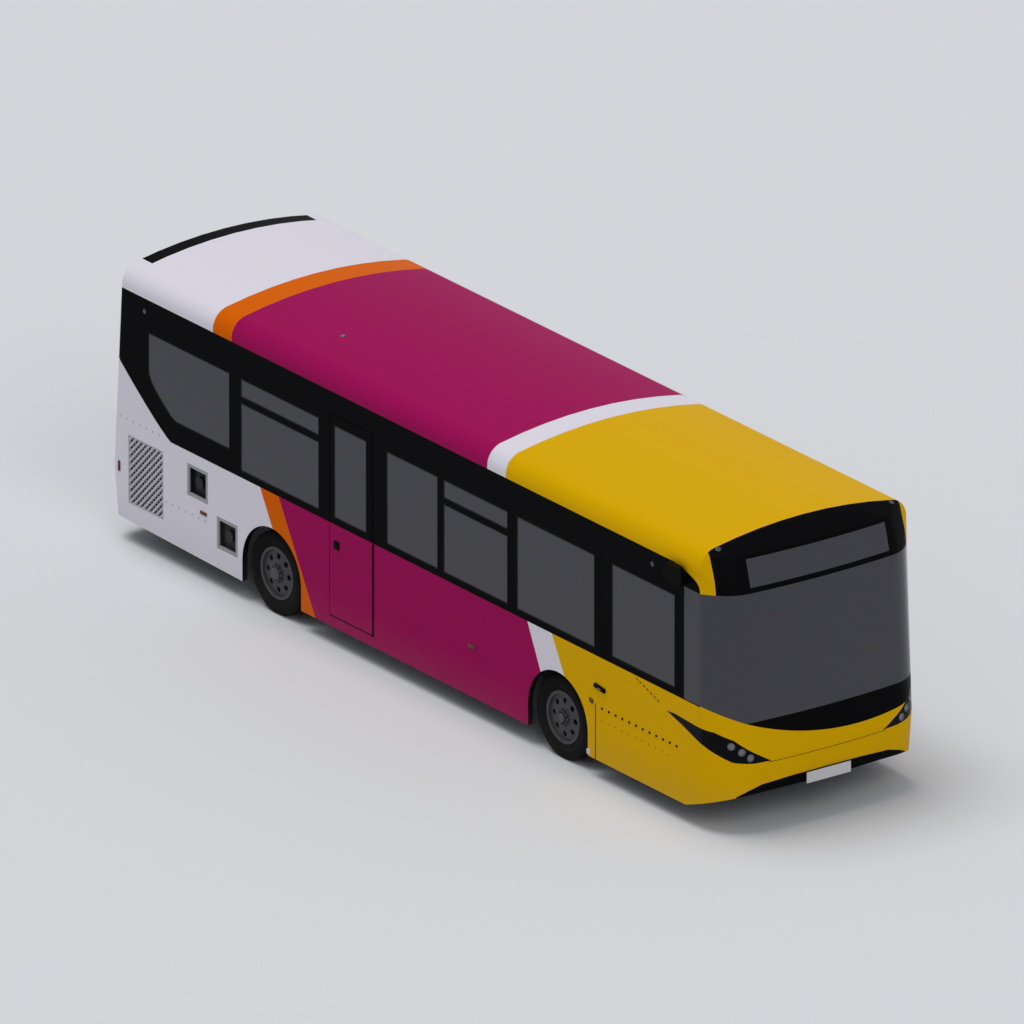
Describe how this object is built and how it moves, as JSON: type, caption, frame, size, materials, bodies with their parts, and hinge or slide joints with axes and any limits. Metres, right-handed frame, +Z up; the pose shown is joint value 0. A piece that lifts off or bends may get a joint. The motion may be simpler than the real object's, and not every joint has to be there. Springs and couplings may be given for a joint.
{
  "type": "airport passenger bus",
  "caption": "Low-floor single-deck airport bus with a hollow glazed cabin, right-hand cab, swinging entrance doors, emergency door, hinged engine cover and steered front wheels.",
  "frame": {"origin": "on the ground under the middle of the body", "axes": "+X forward, +Y to the bus's left, +Z up"},
  "size_m": [10.05, 2.612, 2.95],
  "materials": {
    "body_paint": "gloss",
    "black_trim": "gloss",
    "glass": "tinted",
    "headlamp": "gloss",
    "rear_lamp": "gloss",
    "plate": "satin",
    "grille": "satin",
    "floor": "matt",
    "seat": "satin",
    "cab": "matt",
    "handrail": "gloss",
    "chassis": "satin",
    "steel": "satin",
    "wheel": "satin",
    "engine": "matt",
    "tyre": "matt"
  },
  "bodies": {
    "body": {"chassis_frame": "chassis", "floor_deck": "floor", "wheel_boxes": "floor", "side_wall_right": "body_paint", "side_wall_left": "body_paint", "roof": "body_paint", "front_panel": "body_paint", "front_valance": "black_trim", "windscreen_base": "black_trim", "windscreen": "glass", "dome_panel": "black_trim", "destination_glass": "glass", "rear_panel": "body_paint", "rear_glass": "glass", "side_glass_right": "glass", "side_glass_left": "glass", "headlamps": "headlamp", "rear_lamps": "rear_lamp", "mirrors": "black_trim", "number_plate": "plate", "side_grille": "grille", "filler_pockets": "grille", "engine": "engine", "front_axle": "chassis", "rear_axle": "chassis", "passenger_seats": "seat", "driver_seat": "cab", "dashboard": "cab", "steering_wheel": "cab", "handrails": "handrail"},
    "steer_left": {"knuckle_left": "chassis"},
    "steer_right": {"knuckle_right": "chassis"},
    "tie_rod": {"tie_rod": "steel"},
    "front_wheel_left": {"wheel_front_left": "wheel", "tyre_front_left": "tyre"},
    "front_wheel_right": {"wheel_front_right": "wheel", "tyre_front_right": "tyre"},
    "rear_wheel_left": {"wheel_rear_left": "wheel", "tyres_rear_left": "tyre"},
    "rear_wheel_right": {"wheel_rear_right": "wheel", "tyres_rear_right": "tyre"},
    "entrance_leaf_front": {"door_leaf_front": "black_trim", "door_glass_front": "glass"},
    "entrance_leaf_rear": {"door_leaf_rear": "black_trim", "door_glass_rear": "glass"},
    "emergency_exit": {"emergency_door": "body_paint", "emergency_door_glass": "glass"},
    "engine_lid": {"engine_cover": "body_paint"}
  },
  "joints": [
    {"name": "steer_left", "type": "hinge", "parent": "body", "child": "steer_left", "pos_m": [2.345, 0.907, 0.42], "axis": [0, 0, 1], "range_deg": [-40, 40]},
    {"name": "steer_right", "type": "hinge", "parent": "body", "child": "steer_right", "pos_m": [2.345, -0.907, 0.42], "axis": [0, 0, 1], "range_deg": [-40, 40]},
    {"name": "tie_rod_pivot", "type": "hinge", "parent": "steer_left", "child": "tie_rod", "pos_m": [2.155, 0.907, 0.2167], "axis": [0, 0, 1], "range_deg": [-40, 40]},
    {"name": "front_wheel_left_spin", "type": "hinge", "parent": "steer_left", "child": "front_wheel_left", "pos_m": [2.345, 1.057, 0.42], "axis": [0, 1, 0], "continuous": true},
    {"name": "front_wheel_right_spin", "type": "hinge", "parent": "steer_right", "child": "front_wheel_right", "pos_m": [2.345, -1.057, 0.42], "axis": [0, 1, 0], "continuous": true},
    {"name": "rear_wheel_left_spin", "type": "hinge", "parent": "body", "child": "rear_wheel_left", "pos_m": [-2.285, 0.915, 0.42], "axis": [0, 1, 0], "continuous": true},
    {"name": "rear_wheel_right_spin", "type": "hinge", "parent": "body", "child": "rear_wheel_right", "pos_m": [-2.285, -0.915, 0.42], "axis": [0, 1, 0], "continuous": true},
    {"name": "entrance_front_hinge", "type": "hinge", "parent": "body", "child": "entrance_leaf_front", "pos_m": [4.229, 1.198, 1.38], "axis": [0, 0, 1], "range_deg": [0, 88]},
    {"name": "entrance_rear_hinge", "type": "hinge", "parent": "body", "child": "entrance_leaf_rear", "pos_m": [3.129, 1.198, 1.38], "axis": [0, 0, -1], "range_deg": [0, 88]},
    {"name": "emergency_door_hinge", "type": "hinge", "parent": "body", "child": "emergency_exit", "pos_m": [-0.6604, -1.198, 1.355], "axis": [0, 0, 1], "range_deg": [0, 95]},
    {"name": "engine_lid_hinge", "type": "hinge", "parent": "body", "child": "engine_lid", "pos_m": [-4.998, 0, 1.28], "axis": [0, 1, 0], "range_deg": [0, 75]}
  ],
  "couplings": [
    {"joint": "steer_right", "follows": "steer_left", "ratio": 1},
    {"joint": "tie_rod_pivot", "follows": "steer_left", "ratio": -1},
    {"joint": "entrance_rear_hinge", "follows": "entrance_front_hinge", "ratio": 1}
  ]
}
